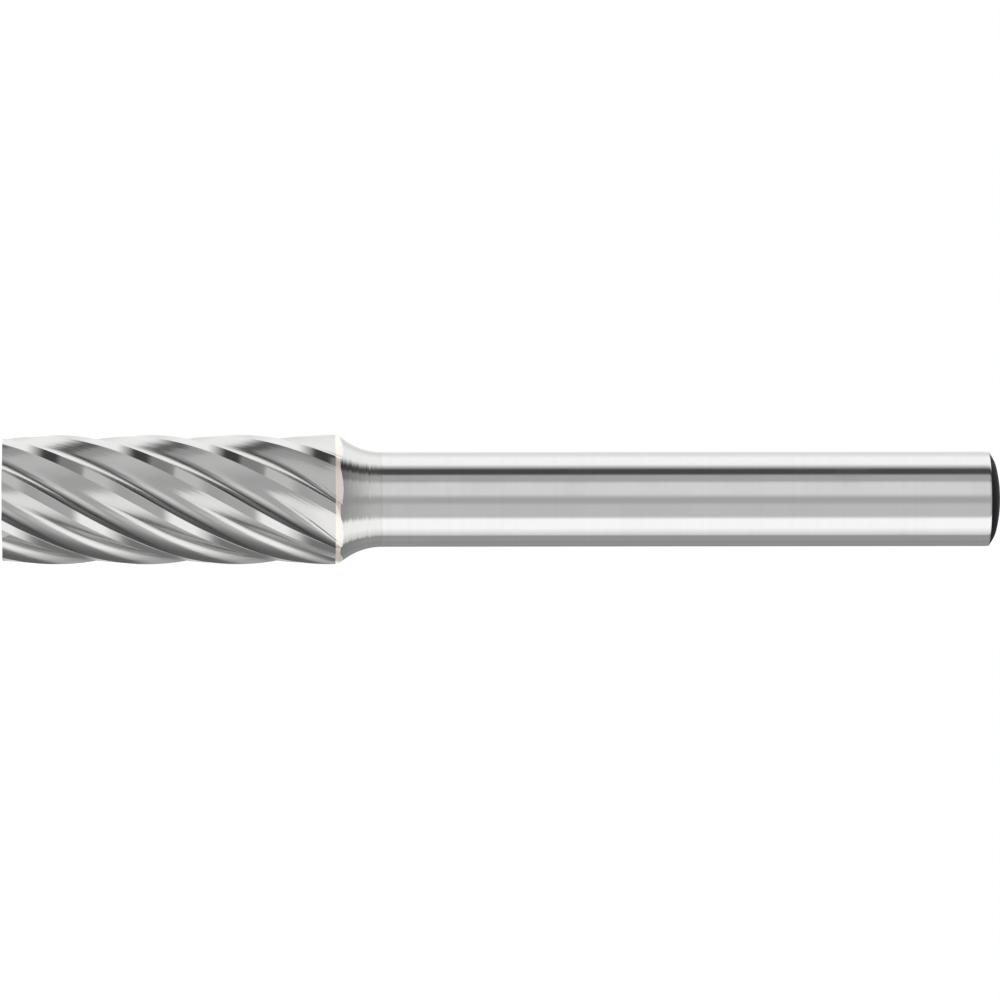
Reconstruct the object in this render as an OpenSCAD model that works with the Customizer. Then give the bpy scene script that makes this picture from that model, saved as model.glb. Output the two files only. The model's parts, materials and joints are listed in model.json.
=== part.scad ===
// Cylindrical carbide burr with coarse helical teeth for soft metals.
// It stands on the flat end of its head: Z runs up the axis, from the head to the end of the shank.

/* [Head] */
// Diameter over the cutting edges
head_d = 8.2; // [7:0.1:12]
// Length of the carbide head
head_l = 21; // [12:0.1:30]
// Number of teeth
teeth = 8; // [6:1:10]
// Helix angle of the cutting edges
helix_angle = 29.4; // [10:0.1:40]
// Angle of the first cutting edge on the end face
first_edge = 18; // [0:1:44]

/* [Teeth] */
// Width of the flat land behind each cutting edge
land_w = 0.73; // [0.4:0.01:0.9]
// Relief angle of the land
land_relief = 13.5; // [5:0.5:16]
// Rake angle of the cutting edge, negative when the face leans forward
rake = -13; // [-25:1:-6]
// Radius of the gullet's floor
gullet_r = 1.1; // [0.7:0.01:1.1]
// Angle that the gullet's arc sweeps, from the tooth's back to the next cutting edge
gullet_sweep = 86; // [70:1:95]
// Length over which the gullets rise out of the head, at its rear
runout_l = 5.6; // [3:0.1:9]
// How far behind the head's rear face the gullets would end
runout_past = 0.98; // [0.5:0.01:1.5]

/* [Joint] */
// Thickness of the brazed seam between head and shank
seam_t = 0.3; // [0.1:0.05:0.6]
// How far the seam is ground under the cutting edges
seam_flush = 0.01; // [0.005:0.005:0.03]
// How far the shank's shoulder is under the cutting edges
shoulder_step = 0.1; // [0.05:0.01:0.3]

/* [Shank] */
// Diameter of the shank, which a collet grips
shank_d = 6; // [4:0.1:6.5]
// Overall length of the tool
overall_l = 63.1; // [45:0.5:110]
// Radius of the concave neck between shoulder and shank
neck_r = 4; // [2:0.1:6]
// Length of the bevel at the shank's end
end_bevel_l = 0.4; // [0.2:0.05:1]
// How far the bevel reaches in towards the axis
end_bevel_w = 0.6; // [0.2:0.05:1]
// Radius of the crowned end face
end_crown_r = 7.5; // [4:0.1:40]

/* [Smoothness] */
// Twist between two rings of points along the head, in degrees
ring_step = 4.5; // [3:0.5:9]
// Steps along the back of a tooth
back_steps = 3; // [2:1:6]
// Steps along the floor of a gullet
floor_steps = 6; // [4:1:10]

/* [Hidden] */

head_r = head_d / 2;
shank_r = shank_d / 2;
shoulder_r = head_r - shoulder_step;
pitch = 360 / teeth;
turn_per_mm = tan(helix_angle) / head_r * 180 / PI;
shank_z = head_l + seam_t;
neck_l = sqrt(pow(neck_r, 2) - pow(neck_r - shoulder_r + shank_r, 2));
neck_end_z = shank_z + neck_l;

// Where the gullets start to rise and where they would end
runout_end_z = head_l + runout_past;
runout_start_z = runout_end_z - runout_l;

// The cutter for the gullets' ends starts inside the head and stops where they have all but run out
tail_lead = 0.1;
tail_short = 0.25;
tail_start_z = head_l - tail_lead;
tail_end_z = runout_end_z - tail_short;
tail_rings = 4;

// How far a cutter reaches past what it cuts, sideways and at its ends
cutter_margin = 1;
cutter_cap = 0.1;

// Smoothness of the round parts
arc_fn = 96;

// Direction of an angle, as a point at distance 1 from the axis
function unit(angle) = [cos(angle), sin(angle)];

// Angle of a point around the axis
function bearing(point) = atan2(point.y, point.x);

// One tooth, with its cutting edge at angle 0 and the next cutting edge one pitch further on
edge = [head_r, 0];
heel = edge + land_w * unit(90 + land_relief);
next_edge = head_r * unit(pitch);
floor_centre = next_edge + gullet_r * unit(pitch - 90 - rake);
floor_end = pitch + 90 - rake;
floor_start = floor_end + gullet_sweep;
back_end = floor_centre + gullet_r * unit(floor_start);

// Size of the gullet at a height: 1 along the head, and less as the grinding wheel leaves the work in an arc
function gullet_size(z) = 1 - pow(max(0, (z - runout_start_z) / runout_l), 2);

// Shrinks the gullet's outline towards the next cutting edge
function sized(point, size) = next_edge + size * (point - next_edge);

// Point on the tooth's back: a spiral where the gullet is full, and a straight line where it has run out
function back_point(share, size) =
    let (
        last = sized(back_end, size),
        radius = norm(heel) * pow(norm(last) / norm(heel), share),
        angle = bearing(heel) + share * (bearing(last) - bearing(heel)),
        straight = heel + share * (last - heel)
    )
    size * radius * unit(angle) + (1 - size) * straight;

// Outline of one tooth, from its cutting edge to just before the next one
function tooth_outline(size) = concat(
    [edge],
    [for (i = [0 : back_steps - 1]) back_point(i / back_steps, size)],
    [for (i = [0 : floor_steps - 1])
        sized(floor_centre + gullet_r * unit(floor_start - gullet_sweep * i / floor_steps), size)]
);

// One point turned about the axis and lifted to a height
function placed(point, angle, z) = [
    point.x * cos(angle) - point.y * sin(angle),
    point.x * sin(angle) + point.y * cos(angle),
    z
];

// All the teeth at one height, turned as the helix has turned there
function ring(z) =
    let (outline = tooth_outline(gullet_size(z)))
    [for (tooth = [0 : teeth - 1], point = outline)
        placed(point, first_edge + pitch * tooth + turn_per_mm * z, z)];

// Evenly spaced heights from low to high, the last one left out
function heights(low, high) =
    let (steps = ceil((high - low) * turn_per_mm / ring_step))
    [for (i = [0 : steps - 1]) low + (high - low) * i / steps];

// Solid through a list of rings, closed at both ends by a fan around the axis
module fluted_bar(levels) {
    rings = [for (z = levels) ring(z)];
    count = len(rings[0]);
    last = len(levels) - 1;
    low_centre = count * len(levels);
    high_centre = low_centre + 1;
    points = concat(
        [for (one = rings, point = one) point],
        [[0, 0, levels[0]], [0, 0, levels[last]]]
    );
    sides = [for (level = [0 : last - 1], i = [0 : count - 1])
        let (
            low = level * count + i,
            low_next = level * count + (i + 1) % count,
            high = low + count,
            high_next = low_next + count
        )
        each [[low, high, high_next], [low, high_next, low_next]]];
    ends = [for (i = [0 : count - 1])
        each [
            [low_centre, i, (i + 1) % count],
            [high_centre, last * count + (i + 1) % count, last * count + i]
        ]];
    polyhedron(points = points, faces = concat(sides, ends));
}

// What the wheels cut away behind the head, where the gullets end in the seam and the shoulder
module flute_tails() {
    bar_start_z = tail_start_z - cutter_cap;
    bar_l = tail_end_z + cutter_cap - bar_start_z;
    difference() {
        translate([0, 0, tail_start_z])
            cylinder(h = tail_end_z - tail_start_z, r = head_r + cutter_margin, $fn = arc_fn);
        fluted_bar([for (i = [0 : tail_rings]) bar_start_z + bar_l * i / tail_rings]);
    }
}

// Half of the shank's section: the neck's fillet, the straight grip and the bevelled, crowned end
module shank_section() {
    crown_z = overall_l - end_crown_r;
    face_r = shank_r - end_bevel_w;
    face_z = crown_z + sqrt(pow(end_crown_r, 2) - pow(face_r, 2));
    bevel_z = face_z - end_bevel_l;
    difference() {
        translate([0, shank_z])
            square([shoulder_r, neck_l]);
        translate([shank_r + neck_r, neck_end_z])
            circle(r = neck_r, $fn = arc_fn);
    }
    polygon([
        [0, shank_z],
        [shank_r, shank_z],
        [shank_r, bevel_z],
        [face_r, face_z],
        [0, face_z]
    ]);
    intersection() {
        translate([0, crown_z])
            circle(r = end_crown_r, $fn = arc_fn);
        translate([0, bevel_z])
            square([face_r, overall_l - bevel_z]);
    }
}

// Fluted head of solid tungsten carbide
module cutting_head() {
    levels = concat(
        heights(0, runout_start_z),
        heights(runout_start_z, head_l),
        [head_l]
    );
    color([0.62, 0.62, 0.61])
        fluted_bar(levels);
}

// Copper-coloured filler that joins the carbide to the steel
module braze_seam() {
    color([0.85, 0.68, 0.56])
        difference() {
            translate([0, 0, head_l])
                cylinder(h = seam_t, r1 = head_r - seam_flush, r2 = shoulder_r, $fn = arc_fn);
            flute_tails();
        }
}

// Ground steel shank, with the ends of the flutes in its shoulder
module shank() {
    color([0.78, 0.79, 0.8])
        difference() {
            rotate_extrude($fn = arc_fn)
                shank_section();
            flute_tails();
        }
}

cutting_head();
braze_seam();
shank();
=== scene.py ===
"""Rotary carbide burr: a fluted carbide head, a brazed seam and a steel shank, lit by long soft boxes."""
import cmath
import json
import logging
import math
from collections.abc import Callable, Iterable
from dataclasses import dataclass
from enum import Enum

import bpy
from mathutils import Matrix, Vector


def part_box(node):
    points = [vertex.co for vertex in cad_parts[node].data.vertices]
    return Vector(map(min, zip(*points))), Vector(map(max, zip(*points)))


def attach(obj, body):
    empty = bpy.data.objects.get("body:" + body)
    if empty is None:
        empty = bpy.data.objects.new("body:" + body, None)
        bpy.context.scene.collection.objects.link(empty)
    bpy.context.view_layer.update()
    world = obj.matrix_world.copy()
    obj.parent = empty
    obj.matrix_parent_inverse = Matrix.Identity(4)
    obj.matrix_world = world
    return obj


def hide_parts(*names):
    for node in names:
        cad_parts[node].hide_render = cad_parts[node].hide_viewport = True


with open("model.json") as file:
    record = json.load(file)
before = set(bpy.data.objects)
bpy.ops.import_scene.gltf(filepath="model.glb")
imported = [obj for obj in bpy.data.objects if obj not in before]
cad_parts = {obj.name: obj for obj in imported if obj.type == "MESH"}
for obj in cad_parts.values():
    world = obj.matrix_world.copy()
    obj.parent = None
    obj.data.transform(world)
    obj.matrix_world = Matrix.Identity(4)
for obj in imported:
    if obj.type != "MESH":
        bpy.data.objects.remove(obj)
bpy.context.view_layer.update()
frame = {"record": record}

log = logging.getLogger("burr")

MM = 0.001
MICRON = MM / 1000
BODY = "root"
HEAD_RADIUS = 4.1 * MM
SHOULDER_RADIUS = 4.0 * MM
SEAM_STEP = 0.01 * MM
GRIP_MOUNT = "shank"


class Part(Enum):
    """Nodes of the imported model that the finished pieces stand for."""

    HEAD = "cutting_head"
    SEAM = "braze_seam"
    SHANK = "shank"


class Slot(Enum):
    """Material slots of the record."""

    CARBIDE = "carbide"
    FILLER = "filler"
    STEEL = "steel"


class Zone(Enum):
    """Surfaces of the shank that have a finish of their own, in the order of its material slots."""

    GRIP = 0
    NECK = 1
    TAILS = 2
    END = 3


class Face(Enum):
    """Surfaces of the head that have a finish of their own, in the order of its material slots."""

    LAND = 0
    BACK = 1
    FLOOR = 2


def deselect() -> None:
    """Leave nothing selected, so that an operator acts only on what follows."""
    if bpy.context.object and bpy.context.object.mode != "OBJECT":
        bpy.ops.object.mode_set(mode="OBJECT")
    bpy.ops.object.select_all(action="DESELECT")


def pick(piece: bpy.types.Object) -> None:
    """Select only one piece and make it active.

    Args:
        piece: The object to select.
    """
    deselect()
    piece.select_set(True)
    bpy.context.view_layer.objects.active = piece


def named(name: str) -> bpy.types.Object:
    """Name the active object and its mesh, and give its mesh its place.

    Args:
        name: The object's new name.

    Returns:
        The active object, at the origin.
    """
    piece = bpy.context.object
    piece.name = name
    piece.data.name = name
    bpy.ops.object.transform_apply(location=True, rotation=True, scale=True)
    return piece


def select_edges(piece: bpy.types.Object, chosen: Callable[[Vector, Vector], bool]) -> None:
    """Go to edit mode with only the chosen edges selected.

    Args:
        piece: The mesh object to edit.
        chosen: Says from an edge's two ends whether it is wanted.
    """
    mesh = piece.data
    bpy.ops.object.mode_set(mode="EDIT")
    bpy.ops.mesh.select_mode(type="EDGE")
    bpy.ops.mesh.select_all(action="DESELECT")
    bpy.ops.object.mode_set(mode="OBJECT")
    for edge in mesh.edges:
        edge.select = chosen(*(mesh.vertices[end].co for end in edge.vertices))
    bpy.ops.object.mode_set(mode="EDIT")


def cut(piece: bpy.types.Object, cutter: bpy.types.Object) -> None:
    """Take the cutter's solid away from a piece.

    Args:
        piece: The object that is cut.
        cutter: The object whose solid is taken away.
    """
    pick(piece)
    boolean = piece.modifiers.new("cut", "BOOLEAN")
    boolean.operation = "DIFFERENCE"
    boolean.solver = "EXACT"
    boolean.object = cutter
    bpy.ops.object.modifier_apply(modifier=boolean.name)


def discard(piece: bpy.types.Object) -> None:
    """Remove a cutter that has done its work.

    Args:
        piece: The object to remove, with its mesh.
    """
    mesh = piece.data
    bpy.data.objects.remove(piece)
    bpy.data.meshes.remove(mesh)


def smooth(piece: bpy.types.Object, angle: float) -> None:
    """Shade a piece smooth, apart from edges sharper than an angle.

    Args:
        piece: The object to shade.
        angle: Angle between two faces, in radians, from which their edge stays sharp.
    """
    pick(piece)
    bpy.ops.object.shade_smooth_by_angle(angle=angle)


class NodeTree:
    """Short calls for building a shader tree."""

    def __init__(self, tree: bpy.types.NodeTree) -> None:
        """Start on an empty tree.

        Args:
            tree: The tree to fill.
        """
        self.tree = tree
        tree.nodes.clear()

    def add(self, kind: str, **values: object) -> bpy.types.Node:
        """Add a node and set its properties and inputs.

        Args:
            kind: The node's type, without ShaderNode.
            values: Properties, and inputs by name or, after an underscore, by number.

        Returns:
            The new node.
        """
        node = self.tree.nodes.new("ShaderNode" + kind if not kind.startswith("Node") else kind)
        for key, value in values.items():
            if hasattr(node, key):
                setattr(node, key, value)
                continue
            socket = node.inputs[int(key[1:])] if key[0] == "_" else node.inputs[key.replace("_", " ")]
            if isinstance(value, bpy.types.NodeSocket):
                self.tree.links.new(value, socket)
            else:
                socket.default_value = value
        return node

    def math(self, operation: str, *values: object) -> bpy.types.NodeSocket:
        """Add a Math node.

        Args:
            operation: Its operation.
            values: Its inputs, numbers or sockets.

        Returns:
            Its output.
        """
        node = self.add("Math", operation=operation, **{f"_{i}": value for i, value in enumerate(values)})
        return node.outputs[0]

    def vector(self, operation: str, *values: object) -> bpy.types.NodeSocket:
        """Add a Vector Math node.

        Args:
            operation: Its operation.
            values: Its vectors, values or sockets.

        Returns:
            Its output vector.
        """
        inputs = {f"_{i}": value for i, value in enumerate(values)}
        return self.add("VectorMath", operation=operation, **inputs).outputs["Vector"]

    def mix(
        self, share: bpy.types.NodeSocket, first: object, second: object, **values: object
    ) -> bpy.types.NodeSocket:
        """Add a Mix node for two colours.

        Args:
            share: Share of the second colour.
            first: The first colour, a value or a socket.
            second: The second colour, a value or a socket.
            values: The node's further properties.

        Returns:
            The mixed colour.
        """
        return self.add("Mix", data_type="RGBA", _0=share, _6=first, _7=second, **values).outputs[2]


class Effects:
    """Shader groups that several finishes share.

    RINGS_APART keeps the noise that tilts the turned rings apart from the noise that turns them.
    """

    RINGS_APART: float = 500.0

    def __init__(self) -> None:
        """Build the groups."""
        self.lines = self._grinding_lines()
        self.handling = self._handling()
        self.rings = self._turned_rings()
        # Painted shade under the cutting edges, for the flutes' finish.
        self.flute = self._painted_flute_shade()

    @staticmethod
    def _group(
        name: str, inputs: dict[str, float], outputs: Iterable[str], kind: str = "NodeSocketFloat"
    ) -> tuple[bpy.types.NodeTree, NodeTree, bpy.types.NodeOutputs, bpy.types.NodeInputs]:
        """Make an empty group whose first input is a vector.

        Args:
            name: The group's name.
            inputs: Its other inputs and their defaults.
            outputs: Its outputs.
            kind: The type of the outputs' sockets.

        Returns:
            The group, its tree helper, the sockets it reads and the sockets it fills.
        """
        group = bpy.data.node_groups.new(name, "ShaderNodeTree")
        face = group.interface
        face.new_socket("Vector", in_out="INPUT", socket_type="NodeSocketVector")
        for key, value in inputs.items():
            face.new_socket(key, in_out="INPUT", socket_type="NodeSocketFloat").default_value = value
        for key in outputs:
            face.new_socket(key, in_out="OUTPUT", socket_type=kind)
        nodes = NodeTree(group)
        return group, nodes, nodes.add("NodeGroupInput").outputs, nodes.add("NodeGroupOutput").inputs

    def _grinding_lines(self) -> bpy.types.NodeTree:
        """Fine lines that a wheel leaves: long one way, close together the other, turned with the helix.

        Returns:
            The group, whose Height is the fine lines and whose Tone is broader bands of the same run.
        """
        group, nodes, source, result = self._group(
            "Grinding lines", {"Twist": 0.0, "Across": 1000.0, "Along": 1000.0}, ("Height", "Tone")
        )
        across, along, vector = source["Across"], source["Along"], source["Vector"]
        place = nodes.add("SeparateXYZ", Vector=vector).outputs
        turn = nodes.math("MULTIPLY", place["Z"], source["Twist"])
        back = nodes.math("MULTIPLY", turn, -1.0)
        straight = nodes.add("VectorRotate", rotation_type="Z_AXIS", Vector=vector, Angle=back).outputs[0]
        stretch = nodes.add("CombineXYZ", X=across, Y=across, Z=along).outputs[0]
        scaled = nodes.vector("MULTIPLY", straight, stretch)
        fine = nodes.add("TexNoise", Vector=scaled, Scale=1.0, Detail=3.0, Roughness=0.65).outputs[0]
        broad = nodes.add("TexNoise", Vector=scaled, Scale=0.12, Detail=2.0, Roughness=0.5).outputs[0]
        nodes.tree.links.new(fine, result["Height"])
        nodes.tree.links.new(broad, result["Tone"])
        return group

    def _painted_flute_shade(self) -> bpy.types.NodeTree:
        """Painted shade in a gullet, by the share of the way from one cutting edge to the next.

        Returns:
            The group, whose Dark, the painted shade, goes from 0 to 1 just under the next cutting edge.
        """
        group, nodes, source, result = self._group(
            "Flute painted shade", {"Twist": 0.0, "First": 0.0, "Pitch": 1.0, "From": 0.84, "To": 0.97}, ("Dark",)
        )
        place = nodes.add("SeparateXYZ", Vector=source["Vector"]).outputs
        turn = nodes.math("MULTIPLY_ADD", place["Z"], source["Twist"], source["First"])
        angle = nodes.math("SUBTRACT", nodes.math("ARCTAN2", place["Y"], place["X"]), turn)
        share = nodes.math("FRACT", nodes.math("DIVIDE", angle, source["Pitch"]))
        dark = nodes.add("MapRange", Value=share, From_Min=source["From"], From_Max=source["To"])
        nodes.tree.links.new(dark.outputs[0], result["Dark"])
        return group

    def _turned_rings(self) -> bpy.types.NodeTree:
        """Narrow rings that a tool leaves round the axis, whose own faces stand almost square to it.

        The normal points straight out from the axis, leans along it by a share of the surface's own lean, and
        turns a little from ring to ring.

        Returns:
            The group.
        """
        inputs = {"Rings": 9000.0, "Lean": 0.3, "Uneven": 0.1, "Rough": 0.5}
        group, nodes, source, result = self._group("Turned rings", inputs, ("Normal",), "NodeSocketVector")
        place = nodes.add("SeparateXYZ", Vector=source["Vector"]).outputs
        flat = nodes.add("CombineXYZ", X=place["X"], Y=place["Y"]).outputs[0]
        out = nodes.vector("NORMALIZE", flat)
        round_axis = nodes.vector("CROSS_PRODUCT", (0, 0, 1), out)
        ring = nodes.math("MULTIPLY", place["Z"], source["Rings"])
        other_ring = nodes.math("ADD", ring, self.RINGS_APART)
        noise = nodes.add("TexNoise", noise_dimensions="1D", W=ring, Scale=1.0, Detail=2.0, Roughness=0.7)
        other = nodes.add("TexNoise", noise_dimensions="1D", W=other_ring, Scale=4.0, Detail=2.0)
        turn = nodes.math("MULTIPLY", nodes.math("SUBTRACT", noise.outputs[0], 0.5), source["Uneven"])
        shake = nodes.math("MULTIPLY", nodes.math("SUBTRACT", other.outputs[0], 0.5), source["Rough"])
        true = nodes.add("SeparateXYZ", Vector=nodes.add("NewGeometry").outputs["Normal"]).outputs["Z"]
        lean = nodes.add("CombineXYZ", Z=nodes.math("MULTIPLY_ADD", true, source["Lean"], shake)).outputs[0]
        sideways = nodes.add("VectorMath", operation="SCALE", _0=round_axis, Scale=turn).outputs[0]
        normal = nodes.vector("NORMALIZE", nodes.vector("ADD", nodes.vector("ADD", out, lean), sideways))
        nodes.tree.links.new(normal, result["Normal"])
        return group

    def _handling(self) -> bpy.types.NodeTree:
        """Faint smears, as on a new tool that has been handled.

        Returns:
            The group.
        """
        group, nodes, source, result = self._group("Handling", {"Scale": 300.0}, ("Smear",))
        vector, scale = source["Vector"], source["Scale"]
        smear = nodes.add("TexNoise", Vector=vector, Scale=scale, Detail=4.0, Roughness=0.6)
        nodes.tree.links.new(smear.outputs[0], result["Smear"])
        return group


@dataclass(frozen=True)
class Finish:
    """Metal finish: its colour, its gloss and the marks of the tool that made it.

    Across and along are the marks' counts for each metre, across their run and along it. First, pitch and
    painted_shade_level place the painted shade in a gullet, a darker colour under each cutting edge that
    stands in for the shade there. Rings, lean, uneven and rough are those of a turned surface.
    """

    name: str
    colour: tuple[float, float, float]
    roughness: float
    metallic: float = 1.0
    specular: float = 0.5
    roughness_change: float = 0.05
    tone_change: float = 0.06
    twist: float = 0.0
    across: float = 150.0
    along: float = 20000.0
    depth: float = 0.4 * MICRON
    stretch: float = 0.0
    first: float = 0.0
    pitch: float = 0.0
    # How dark the painted shade under a cutting edge makes the colour.
    painted_shade_level: float = 0.45
    rings: float = 0.0
    lean: float = 0.48
    uneven: float = 0.18
    rough: float = 0.2
    smear: float = 300.0
    smear_low: float = 0.3
    smear_high: float = 0.7
    quarter_turn: float = 0.25

    def material(self, effects: Effects) -> bpy.types.Material:
        """Build the finish as a material.

        Args:
            effects: The shared shader groups.

        Returns:
            The material.
        """
        material = bpy.data.materials.new(self.name)
        material.use_nodes = True
        nodes = NodeTree(material.node_tree)
        place = nodes.add("TexCoord").outputs["Object"]
        lines = nodes.add(
            "Group",
            node_tree=effects.lines,
            Vector=place,
            Twist=self.twist,
            Across=self.across,
            Along=self.along,
        ).outputs
        marks = nodes.add("Group", node_tree=effects.handling, Vector=place, Scale=self.smear).outputs
        gloss = nodes.add(
            "MapRange",
            Value=marks["Smear"],
            From_Min=self.smear_low,
            From_Max=self.smear_high,
            To_Min=self.roughness - self.roughness_change,
            To_Max=self.roughness + self.roughness_change,
        ).outputs[0]
        bump = nodes.add("Bump", Strength=1.0, Distance=self.depth, Height=lines["Height"])
        if self.rings:
            turned = nodes.add(
                "Group",
                node_tree=effects.rings,
                Vector=place,
                Rings=self.rings,
                Lean=self.lean,
                Uneven=self.uneven,
                Rough=self.rough,
            )
            nodes.tree.links.new(turned.outputs["Normal"], bump.inputs["Normal"])
        shader = nodes.add(
            "BsdfPrincipled", Metallic=self.metallic, Roughness=gloss, Normal=bump.outputs[0]
        )
        tone = self.toned(nodes, effects, place, lines["Tone"])
        nodes.tree.links.new(tone, shader.inputs["Base Color"])
        shader.inputs["Specular IOR Level"].default_value = self.specular
        if self.stretch:
            shader.inputs["Anisotropic"].default_value = self.stretch
            shader.inputs["Anisotropic Rotation"].default_value = self.quarter_turn
            nodes.tree.links.new(self.along_marks(nodes, place), shader.inputs["Tangent"])
        output = nodes.add("OutputMaterial")
        nodes.tree.links.new(shader.outputs[0], output.inputs["Surface"])
        return material

    def toned(
        self, nodes: NodeTree, effects: Effects, place: bpy.types.NodeSocket, bands: bpy.types.NodeSocket
    ) -> bpy.types.NodeSocket:
        """Vary the colour with the marks' broad bands, and darken it in a gullet with painted shade.

        Args:
            nodes: The material's tree.
            effects: The shared shader groups.
            place: The point's place on the object.
            bands: The marks' broad bands.

        Returns:
            The colour.
        """
        dark = tuple(level * (1 - self.tone_change) for level in self.colour) + (1.0,)
        light = tuple(min(1.0, level * (1 + self.tone_change)) for level in self.colour) + (1.0,)
        tone = nodes.mix(bands, dark, light)
        if not self.pitch:
            return tone
        # Painted shade: the colour darkens just under each cutting edge, where the gullet lies in shade.
        painted_shade_under_edge = nodes.add(
            "Group",
            node_tree=effects.flute,
            Vector=place,
            Twist=self.twist,
            First=self.first,
            Pitch=self.pitch,
        ).outputs["Dark"]
        return nodes.mix(painted_shade_under_edge, tone, (self.painted_shade_level,) * 3 + (1.0,), blend_type="MULTIPLY")

    def along_marks(self, nodes: NodeTree, place: bpy.types.NodeSocket) -> bpy.types.NodeSocket:
        """Direction of the marks: round the axis, or along the helix where the finish has a twist.

        Args:
            nodes: The material's tree.
            place: The point's place on the object.

        Returns:
            The direction.
        """
        axes = nodes.add("SeparateXYZ", Vector=place).outputs
        turn = self.twist or 1 / MM
        left = nodes.math("MULTIPLY", axes["Y"], -turn)
        right = nodes.math("MULTIPLY", axes["X"], turn)
        way = nodes.add("CombineXYZ", X=left, Y=right, Z=1.0 if self.twist else 0.0).outputs[0]
        return nodes.vector("NORMALIZE", way)


def apply_finishes(piece: bpy.types.Object, finishes: Iterable[Finish], effects: Effects) -> None:
    """Give a piece its materials, one for each material index.

    Args:
        piece: The object to dress.
        finishes: Its finishes, in the order of its material indices.
        effects: The shared shader groups.
    """
    for finish in finishes:
        piece.data.materials.append(finish.material(effects))


@dataclass(frozen=True)
class Fluting:
    """Ground teeth: one tooth's section, its helix, and the run-out in which the flutes end.

    A point of the section is a complex number, with the cutting edge on the real axis.
    """

    radius: float
    head_top: float
    teeth: int = 8
    helix: float = math.radians(29.4)
    first_edge: float = math.radians(18)
    land: float = 0.73 * MM
    relief: float = math.radians(13.5)
    rake: float = math.radians(-13)
    gullet_radius: float = 1.1 * MM
    gullet_sweep: float = math.radians(86)
    hone: float = 0.03 * MM
    runout_length: float = 5.6 * MM
    runout_past: float = 1.18 * MM
    land_steps: int = 3
    back_steps: int = 8
    floor_steps: int = 16
    upright: float = 0.01 * MM

    @property
    def pitch(self) -> float:
        """Angle from one cutting edge to the next."""
        return math.tau / self.teeth

    @property
    def twist(self) -> float:
        """Turn of the helix for each metre along the axis, in radians."""
        return math.tan(self.helix) / self.radius

    @property
    def runout_end(self) -> float:
        """Height at which the flutes would end."""
        return self.head_top + self.runout_past

    @property
    def points(self) -> int:
        """Number of points round one ring."""
        return len(self.section(1.0)) * self.teeth

    def face(self, index: int) -> Face:
        """Find the surface of the tooth that starts at a point of its outline.

        Args:
            index: The point's number, from the cutting edge.

        Returns:
            The surface.
        """
        if index <= self.land_steps:
            return Face.LAND
        return Face.BACK if index <= self.land_steps + self.back_steps else Face.FLOOR

    def flute_size(self, height: float) -> float:
        """Size of the flute at a height, 1 along the head and less where the grinding wheel left the work."""
        share = max(0.0, (height - self.runout_end) / self.runout_length + 1.0)
        return 1.0 - share**2

    def section(self, size: float) -> list[complex]:
        """Outline of one tooth, from its cutting edge to just before the next one.

        Args:
            size: Size of the flute, from 0 to 1.

        Returns:
            The outline's points, in metres.
        """
        edge = complex(self.radius)
        next_edge = cmath.rect(self.radius, self.pitch)
        land_side = cmath.rect(1.0, math.pi / 2 + self.relief)
        heel = edge + self.land * land_side
        centre = next_edge + cmath.rect(self.gullet_radius, self.pitch - math.pi / 2 - self.rake)
        floor_end = self.pitch + math.pi / 2 - self.rake

        def floor(angle: float) -> complex:
            """Point of the gullet's floor at an angle before the next cutting edge."""
            full = centre + cmath.rect(self.gullet_radius, floor_end + angle)
            return next_edge + size * (full - next_edge)

        honed = self.hone / self.gullet_radius
        before_edge = floor(honed) * cmath.rect(1.0, -self.pitch)
        after_edge = edge + self.hone * land_side
        outline = [(before_edge + 2 * edge + after_edge) / 4]
        for step in range(self.land_steps):
            share = step / self.land_steps
            outline.append(after_edge + share * (heel - after_edge))

        crease = floor(self.gullet_sweep)
        for step in range(self.back_steps):
            share = step / self.back_steps
            spiral = cmath.exp((1 - share) * cmath.log(heel) + share * cmath.log(crease))
            straight = heel + share * (crease - heel)
            outline.append(size * spiral + (1 - size) * straight)
        for step in range(self.floor_steps + 1):
            share = step / self.floor_steps
            outline.append(floor(self.gullet_sweep + share * (honed - self.gullet_sweep)))
        return outline

    def ring(self, height: float) -> list[complex]:
        """All the teeth at one height, turned as the helix has turned there.

        Args:
            height: Height along the axis, in metres.

        Returns:
            The ring's points, in order round the axis.
        """
        tooth = self.section(self.flute_size(height))
        start = self.first_edge + self.twist * height
        turns = [cmath.rect(1.0, start + self.pitch * index) for index in range(self.teeth)]
        return [point * turn for turn in turns for point in tooth]

    def bar(self, name: str, low: float, high: float, levels: int) -> bpy.types.Object:
        """Fluted bar: a round blank, cut into levels, whose points are then moved onto the teeth.

        Args:
            name: The bar's name.
            low: Height of its lower end.
            high: Height of its upper end.
            levels: Number of levels between them.

        Returns:
            The bar, closed at both ends.
        """
        deselect()
        bpy.ops.mesh.primitive_cylinder_add(
            vertices=self.points,
            radius=self.radius,
            depth=high - low,
            end_fill_type="TRIFAN",
            location=(0, 0, (low + high) / 2),
        )
        piece = named(name)
        select_edges(piece, lambda one, other: abs(one.z - other.z) > self.upright)
        bpy.ops.mesh.subdivide(number_cuts=levels - 1)
        bpy.ops.object.mode_set(mode="OBJECT")
        for face in piece.data.polygons:
            turn = cmath.phase(complex(face.center.x, face.center.y)) / math.tau * self.points
            index = math.floor(turn) % (self.points // self.teeth)
            face.material_index = 0 if abs(face.normal.z) > 0.5 else self.face(index).value
        rings: dict[float, list[complex]] = {}
        for vertex in piece.data.vertices:
            place = complex(vertex.co.x, vertex.co.y)
            if abs(place) < self.radius / 2:
                continue
            index = round(cmath.phase(place) / math.tau * self.points) % self.points
            key = round(vertex.co.z, 8)
            if key not in rings:
                rings[key] = self.ring(vertex.co.z)
            vertex.co.x = rings[key][index].real
            vertex.co.y = rings[key][index].imag
        return piece


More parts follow.
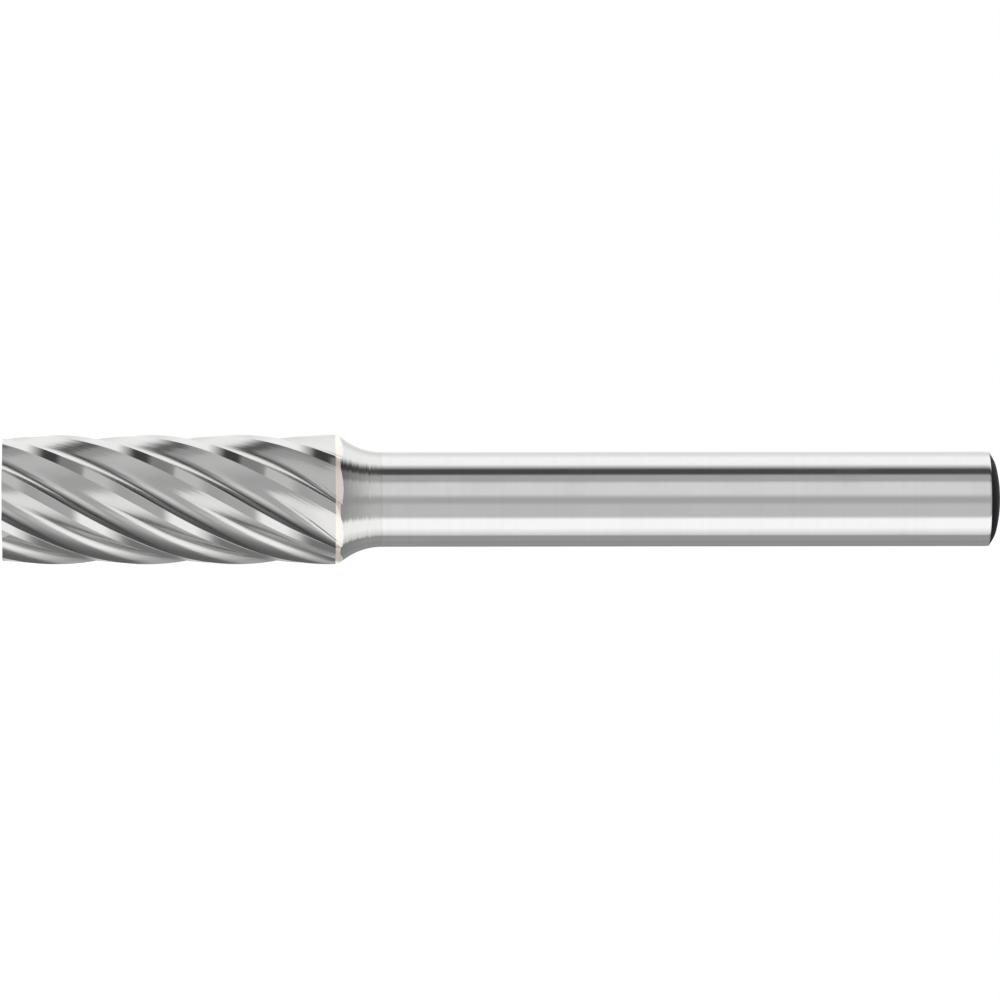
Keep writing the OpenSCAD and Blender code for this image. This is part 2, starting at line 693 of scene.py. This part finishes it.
@dataclass(frozen=True)
class Head:
    """Carbide head, fluted from its flat end up to the seam."""

    fluting: Fluting
    low: float
    high: float
    levels: int = 140
    sharp: float = math.radians(9)
    carbide: tuple[float, float, float] = (0.565, 0.56, 0.555)

    def build(self) -> bpy.types.Object:
        """Grind the head.

        Returns:
            The head.
        """
        piece = self.fluting.bar("head", self.low, self.high, self.levels)
        smooth(piece, self.sharp)
        return piece

    def dress(self, piece: bpy.types.Object, effects: Effects) -> None:
        """Give the head its ground finishes, whose marks follow the helix, and paint shade into its flutes
        under each cutting edge.

        Args:
            piece: The head.
            effects: The shared shader groups.
        """
        twist = self.fluting.twist
        lands = Finish(
            "ground carbide",
            colour=self.carbide,
            roughness=0.1,
            twist=twist,
            across=9000.0,
            along=150.0,
        )
        backs = Finish(
            "ground carbide, backs",
            colour=self.carbide,
            roughness=0.17,
            twist=twist,
            across=4500.0,
            along=150.0,
            depth=10 * MICRON,
            stretch=0.5,
        )
        floors = Finish(
            "ground carbide, flutes, painted shade under the edges",
            colour=self.carbide,
            roughness=0.18,
            twist=twist,
            across=6000.0,
            along=150.0,
            depth=5 * MICRON,
            stretch=0.6,
            # first and pitch place the painted shade under each cutting edge.
            first=self.fluting.first_edge,
            pitch=self.fluting.pitch,
        )
        apply_finishes(piece, (lands, backs, floors), effects)


@dataclass(frozen=True)
class Tails:
    """What the grinding wheel takes from the seam and the shoulder, where the flutes end."""

    fluting: Fluting
    lead: float = 0.1 * MM
    short: float = 0.25 * MM
    over: float = 1.0 * MM
    cap: float = 0.1 * MM
    levels: int = 24
    around: int = 64

    def build(self) -> bpy.types.Object:
        """Make the cutter: a plain cylinder without the fluted bar that stays.

        Returns:
            The cutter.
        """
        low = self.fluting.head_top - self.lead
        high = self.fluting.runout_end - self.short
        bar = self.fluting.bar("kept", low - self.cap, high + self.cap, self.levels)
        deselect()
        bpy.ops.mesh.primitive_cylinder_add(
            vertices=self.around,
            radius=self.fluting.radius + self.over,
            depth=high - low,
            location=(0, 0, (low + high) / 2),
        )
        piece = named("tails")
        cut(piece, bar)
        discard(bar)
        return piece


@dataclass(frozen=True)
class Seam:
    """Filler between head and shank, ground with them."""

    low: float
    high: float
    low_radius: float
    high_radius: float
    around: int = 512
    sharp: float = math.radians(12)

    def build(self, tails: bpy.types.Object) -> bpy.types.Object:
        """Make the seam's disc and end the flutes in it.

        Args:
            tails: The cutter for the flutes' ends.

        Returns:
            The seam.
        """
        deselect()
        bpy.ops.mesh.primitive_cone_add(
            vertices=self.around,
            radius1=self.low_radius,
            radius2=self.high_radius,
            depth=self.high - self.low,
            location=(0, 0, (self.low + self.high) / 2),
        )
        piece = named("seam")
        cut(piece, tails)
        smooth(piece, self.sharp)
        return piece

    def dress(self, piece: bpy.types.Object, effects: Effects) -> None:
        """Give the seam the copper colour of its filler.

        Args:
            piece: The seam.
            effects: The shared shader groups.
        """
        filler = Finish("copper filler", colour=(0.98, 0.87, 0.79), roughness=0.48)
        apply_finishes(piece, (filler,), effects)


@dataclass(frozen=True)
class Shank:
    """Steel shank: the shoulder's fillet, the straight grip and the rounded, crowned end."""

    fluting: Fluting
    low: float
    high: float
    shoulder_radius: float
    radius: float
    fillet: float = 4.0 * MM
    bevel_length: float = 0.38 * MM
    bevel_width: float = 0.6 * MM
    crown: float = 8.5 * MM
    broken: float = 0.04 * MM
    rounded: float = 0.3 * MM
    run_in: float = 0.25 * MM
    bare_bevel: float = 0.01 * MM
    around: int = 384
    fillet_steps: int = 40
    edge_steps: int = 12
    crown_steps: int = 16
    sharp: float = math.radians(12)
    tail_depth: float = 4 * MICRON
    same_point: float = 0.5 * MICRON

    @property
    def neck_top(self) -> float:
        """Height at which the fillet meets the straight grip."""
        return self.low + math.sqrt(self.fillet**2 - (self.fillet - self.shoulder_radius + self.radius) ** 2)

    @property
    def face_edge(self) -> complex:
        """Where the bevel meets the crowned end face: radius and height."""
        return self.on_crown(self.radius - self.bevel_width)

    @property
    def grip_edge(self) -> complex:
        """Where the straight grip meets the bevel: radius and height."""
        return complex(self.radius, self.face_edge.imag - self.bevel_length)

    @property
    def blackened_from(self) -> float:
        """Height from which the end is blackened, just past the grip's broken edge."""
        return self.grip_edge.imag + self.bare_bevel

    def radius_at(self, height: float) -> float:
        """Find the radius of the neck or the grip.

        Args:
            height: Height below the bevel, in metres.

        Returns:
            The radius, in metres.
        """
        if height >= self.neck_top:
            return self.radius
        return self.radius + self.fillet - math.sqrt(self.fillet**2 - (self.neck_top - height) ** 2)

    def profile(self) -> list[tuple[float, float]]:
        """Half of the shank's section.

        Returns:
            Radius and height of each point, from the bottom's centre to the end's centre.
        """
        points = [(0.0, self.low)]
        start = math.asin((self.neck_top - self.low) / self.fillet)
        for step in range(self.fillet_steps + 1):
            height = self.neck_top - self.fillet * math.sin(start * (1 - step / self.fillet_steps))
            points.append((self.radius_at(height), height))
        slope = self.face_edge - self.grip_edge
        slope /= abs(slope)
        crown_edge = self.face_edge.real - self.rounded
        corners = (
            (self.grip_edge, self.grip_edge - 1j * self.run_in, self.grip_edge + slope * self.broken),
            (self.face_edge, self.face_edge - slope * self.rounded, self.on_crown(crown_edge)),
        )
        for corner, before, after in corners:
            for step in range(self.edge_steps + 1):
                share = step / self.edge_steps
                place = (1 - share) ** 2 * before + 2 * share * (1 - share) * corner + share**2 * after
                points.append((place.real, place.imag))
        for step in range(1, self.crown_steps):
            place = self.on_crown(crown_edge * (1 - step / self.crown_steps))
            points.append((place.real, place.imag))
        points.append((0.0, self.high))
        return points

    def on_crown(self, out: float) -> complex:
        """Point of the crowned end face at a radius."""
        return complex(out, self.high - self.crown + math.sqrt(self.crown**2 - out**2))

    def build(self, tails: bpy.types.Object) -> bpy.types.Object:
        """Turn the shank from its profile and end the flutes in its shoulder.

        Args:
            tails: The cutter for the flutes' ends.

        Returns:
            The shank.
        """
        points = self.profile()
        deselect()
        bpy.ops.mesh.primitive_plane_add(size=MM, location=(points[0][0], 0, points[0][1]))
        piece = named("shank_body")
        bpy.ops.object.mode_set(mode="EDIT")
        bpy.ops.mesh.select_mode(type="VERT")
        bpy.ops.mesh.select_all(action="SELECT")
        bpy.ops.mesh.merge(type="CENTER")
        for (r0, z0), (r1, z1) in zip(points, points[1:]):
            bpy.ops.mesh.extrude_vertices_move(TRANSFORM_OT_translate={"value": (r1 - r0, 0, z1 - z0)})
        bpy.ops.mesh.select_all(action="SELECT")
        bpy.ops.mesh.spin(steps=self.around, angle=math.tau, center=(0, 0, 0), axis=(0, 0, 1))
        bpy.ops.mesh.select_all(action="SELECT")
        bpy.ops.mesh.remove_doubles(threshold=self.same_point)
        bpy.ops.mesh.normals_make_consistent(inside=False)
        bpy.ops.object.mode_set(mode="OBJECT")
        cut(piece, tails)
        smooth(piece, self.sharp)
        return piece

    def dress(self, piece: bpy.types.Object, effects: Effects) -> None:
        """Give the shank a finish for each zone, and each face the finish of its zone.

        Args:
            piece: The shank.
            effects: The shared shader groups.
        """
        ground = Finish(
            "ground steel", colour=(0.6, 0.6, 0.6), roughness=0.12, tone_change=0.03, stretch=0.6
        )
        turned = Finish(
            "turned steel", colour=(0.56, 0.56, 0.55), roughness=0.13, stretch=0.5, rings=9000.0
        )
        fluted = Finish(
            "fluted steel",
            colour=(0.84, 0.84, 0.83),
            roughness=0.28,
            metallic=0.6,
            twist=self.fluting.twist,
            across=9000.0,
            along=150.0,
        )
        blackened = Finish(
            "blackened steel", colour=(0.01, 0.01, 0.01), roughness=0.55, metallic=0.0, specular=0.06
        )
        apply_finishes(piece, (ground, turned, fluted, blackened), effects)
        for face in piece.data.polygons:
            face.material_index = self.zone(face.center).value

    def zone(self, place: Vector) -> Zone:
        """Find the zone of the shank that a point of its surface is in.

        Args:
            place: The point.

        Returns:
            The zone.
        """
        if place.z > self.blackened_from:
            return Zone.END
        if place.z > self.neck_top:
            return Zone.GRIP
        off = self.radius_at(place.z) - math.hypot(place.x, place.y)
        return Zone.TAILS if off > self.tail_depth else Zone.NECK


@dataclass(frozen=True)
class Strip:
    """Long light or card beside the tool, by its angle round the axis from the camera's side, in degrees.

    Its level is given beside the tool, just past the tool's head, far past the head, and past the shank.
    """

    name: str
    start: float
    end: float
    beside: float
    past_head: float
    far_head: float
    past_shank: float


@dataclass(frozen=True)
class Studio:
    """Pale floor, white backdrop and the long soft boxes that the metal reflects.

    A strip's level changes where the share of a direction along the tool's axis, from -1 past the head to 1
    past the shank, lies between a pair of from and to. Under the tool the far level starts nearer, by a shift
    that grows from the table's edge to its end.
    """

    strips: tuple[Strip, ...] = (
        Strip("backdrop", -180, -142, 1.04, 1.16, 1.16, 0.90),
        Strip("top box", -118, -94, 1.47, 1.47, 1.50, 1.40),
        Strip("gap under the top box", -77, -64, 0.10, 0.08, 0.17, 0.05),
        Strip("grey card", -59, -45, 0.61, 0.36, 0.53, 0.16),
        Strip("front box's edge", -39, -38, 1.06, 0.42, 0.78, 0.38),
        Strip("front box", -35, -13, 1.06, 0.85, 0.82, 0.40),
        Strip("gap for the camera", -2, 7, 0.60, 0.60, 0.72, 0.44),
        Strip("white card", 15, 43, 0.81, 0.64, 0.61, 0.44),
        Strip("low box", 51, 75, 1.55, 1.46, 1.29, 1.42),
        Strip("low box's dim end", 83, 84, 1.34, 1.12, 1.20, 1.20),
        Strip("low box's far edge", 95, 97, 1.04, 0.40, 0.92, 0.90),
        Strip("table's near part", 101, 122, 0.48, 0.29, 0.80, 0.15),
        Strip("table's middle", 124, 145, 0.42, 0.28, 0.90, 0.15),
        Strip("table's far part", 165, 180, 0.30, 0.83, 1.05, 0.50),
    )
    head_from: float = 0.004
    head_to: float = -0.035
    far_from: float = -0.28
    far_to: float = -0.4
    table_edge: float = 85.0
    table_end: float = 165.0
    table_shift: float = 0.28
    shank_from: float = 0.14
    shank_to: float = 0.6
    floor_radius: float = 0.6
    floor_around: int = 128
    floor_colour: float = 0.85
    floor_lift: float = 0.6

    def world(self) -> None:
        """Light the scene from all round, and show the camera plain white."""
        world = bpy.data.worlds.new("studio")
        world.use_nodes = True
        bpy.context.scene.world = world
        nodes = NodeTree(world.node_tree)
        way = nodes.add("TexCoord").outputs["Generated"]
        axes = nodes.add("SeparateXYZ", Vector=way).outputs
        front = nodes.math("MULTIPLY", axes["Y"], -1.0)
        angle = nodes.math("ARCTAN2", axes["X"], front)
        share = nodes.math("MULTIPLY_ADD", angle, 1 / math.tau, 0.5)
        top = max(strip.beside for strip in self.strips)
        beside, past_head, far_head, past_shank = (
            self.ramp(nodes, share, [(strip, getattr(strip, place) / top) for strip in self.strips])
            for place in ("beside", "past_head", "far_head", "past_shank")
        )
        shift = nodes.add(
            "MapRange",
            Value=share,
            From_Min=self.share(self.table_edge),
            From_Max=self.share(self.table_end),
            To_Min=0.0,
            To_Max=self.table_shift,
        ).outputs[0]
        along = nodes.math("SUBTRACT", axes["Z"], shift)
        down, far, up = (
            nodes.add("MapRange", Value=place, From_Min=start, From_Max=end).outputs[0]
            for place, start, end in (
                (axes["Z"], self.head_from, self.head_to),
                (along, self.far_from, self.far_to),
                (axes["Z"], self.shank_from, self.shank_to),
            )
        )
        lower = nodes.mix(down, beside, past_head)
        lowest = nodes.mix(far, lower, far_head)
        level = nodes.mix(up, lowest, past_shank)
        light = nodes.add("Background", Color=level, Strength=top)
        white = nodes.add("Background", Color=(1, 1, 1, 1), Strength=1.0)
        seen = nodes.add("LightPath").outputs["Is Camera Ray"]
        mix = nodes.add("MixShader", _0=seen, _1=light.outputs[0], _2=white.outputs[0])
        output = nodes.add("OutputWorld")
        nodes.tree.links.new(mix.outputs[0], output.inputs["Surface"])

    @staticmethod
    def share(angle: float) -> float:
        """Share of the turn round the axis at which an angle in degrees lies, from 0 at -180."""
        return angle / 360 + 0.5

    def ramp(
        self, nodes: NodeTree, share: bpy.types.NodeSocket, levels: list[tuple[Strip, float]]
    ) -> bpy.types.NodeSocket:
        """Add a colour ramp that runs once round the axis, with each strip's start and end in it.

        Args:
            nodes: The world's tree.
            share: Share of the turn round the axis, from 0 to 1.
            levels: The strips with their levels, the brightest as 1.

        Returns:
            The ramp's colour.
        """
        node = nodes.add("ValToRGB", Fac=share)
        stops = node.color_ramp.elements
        stops.remove(stops[-1])
        places = [
            (self.share(angle), level) for strip, level in levels for angle in (strip.start, strip.end)
        ]
        for index, (place, level) in enumerate(places):
            stop = stops[0] if index == 0 else stops.new(place)
            stop.position = place
            stop.color = (level, level, level, 1.0)
        return node.outputs["Color"]

    def floor(self) -> bpy.types.Object:
        """Lay the floor, which keeps the tool's shadow but isn't mirrored in the metal.

        Returns:
            The floor.
        """
        deselect()
        bpy.ops.mesh.primitive_circle_add(
            vertices=self.floor_around, radius=self.floor_radius, fill_type="NGON"
        )
        piece = named("floor")
        material = bpy.data.materials.new("floor")
        material.use_nodes = True
        nodes = NodeTree(material.node_tree)
        matt = nodes.add("BsdfDiffuse", Color=(self.floor_colour,) * 3 + (1.0,))
        seen = nodes.add("LightPath").outputs["Is Camera Ray"]
        lift = nodes.add("Emission", Strength=nodes.math("MULTIPLY", seen, self.floor_lift))
        both = nodes.add("AddShader", _0=matt.outputs[0], _1=lift.outputs[0])
        output = nodes.add("OutputMaterial")
        nodes.tree.links.new(both.outputs[0], output.inputs["Surface"])
        piece.data.materials.append(material)
        piece.visible_glossy = False
        return piece


@dataclass(frozen=True)
class View:
    """Camera of the photograph: level with the tool, which lies across it with the head to the left."""

    distance: float = 575 * MM
    yaw: float = math.radians(1.5)
    roll: float = math.radians(-0.065)
    width: float = 63.29 * MM
    middle: float = 31.418 * MM
    drop: float = 0.047 * MM
    sensor: float = 36.0
    nearest: float = 0.05
    furthest: float = 20.0

    def build(self) -> bpy.types.Object:
        """Set up the camera.

        Returns:
            The camera.
        """
        data = bpy.data.cameras.new("camera")
        data.sensor_width = self.sensor
        data.lens = self.sensor * self.distance / self.width
        data.clip_start = self.distance * self.nearest
        data.clip_end = self.distance * self.furthest
        camera = bpy.data.objects.new("camera", data)
        bpy.context.scene.collection.objects.link(camera)
        back = Vector((0, -math.cos(self.yaw), -math.sin(self.yaw)))
        right = Vector((0, -math.sin(self.yaw), math.cos(self.yaw)))
        up = back.cross(right)
        turn = Matrix((right, up, back)).transposed().to_4x4()
        spin = Matrix.Rotation(self.roll, 4, "Z")
        place = Vector((0, 0, self.middle)) + back * self.distance - up * self.drop
        camera.matrix_world = Matrix.Translation(place) @ turn @ spin
        bpy.context.scene.camera = camera
        return camera


class Burr:
    """The whole tool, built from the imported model's own sizes."""

    def __init__(self) -> None:
        """Take the sizes from the frame."""
        head_low, head_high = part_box(Part.HEAD.value)
        seam_low, seam_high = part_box(Part.SEAM.value)
        shank_low, shank_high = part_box(Part.SHANK.value)
        grip = next(mount for mount in frame["record"]["mounts"] if mount["name"] == GRIP_MOUNT)
        self.fluting = Fluting(HEAD_RADIUS, head_high.z)
        self.head = Head(self.fluting, head_low.z, head_high.z)
        self.tails = Tails(self.fluting)
        self.seam = Seam(seam_low.z, seam_high.z, HEAD_RADIUS - SEAM_STEP, SHOULDER_RADIUS)
        radius = grip["dims"]["r_mm"] * MM
        self.shank = Shank(self.fluting, shank_low.z, shank_high.z, SHOULDER_RADIUS, radius)

    def build(self) -> None:
        """Build and dress every piece, hide the node it stands for and attach it to the body it rides on."""
        effects = Effects()
        tails = self.tails.build()
        head = self.head.build()
        seam = self.seam.build(tails)
        shank = self.shank.build(tails)
        discard(tails)
        self.head.dress(head, effects)
        self.seam.dress(seam, effects)
        self.shank.dress(shank, effects)
        for piece, part, slot in (
            (head, Part.HEAD, Slot.CARBIDE),
            (seam, Part.SEAM, Slot.FILLER),
            (shank, Part.SHANK, Slot.STEEL),
        ):
            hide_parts(part.value)
            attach(piece, BODY)
            log.info("%s: %d faces", piece.name, len(piece.data.polygons))


def main() -> None:
    """Build the camera, the studio and the tool."""
    logging.basicConfig(level=logging.INFO, format="%(name)s: %(message)s")
    View().build()
    log.info("camera ready")
    studio = Studio()
    studio.world()
    studio.floor()
    log.info("studio ready")
    Burr().build()
    bpy.context.scene.view_settings.view_transform = "Standard"


if __name__ == "__main__":
    main()
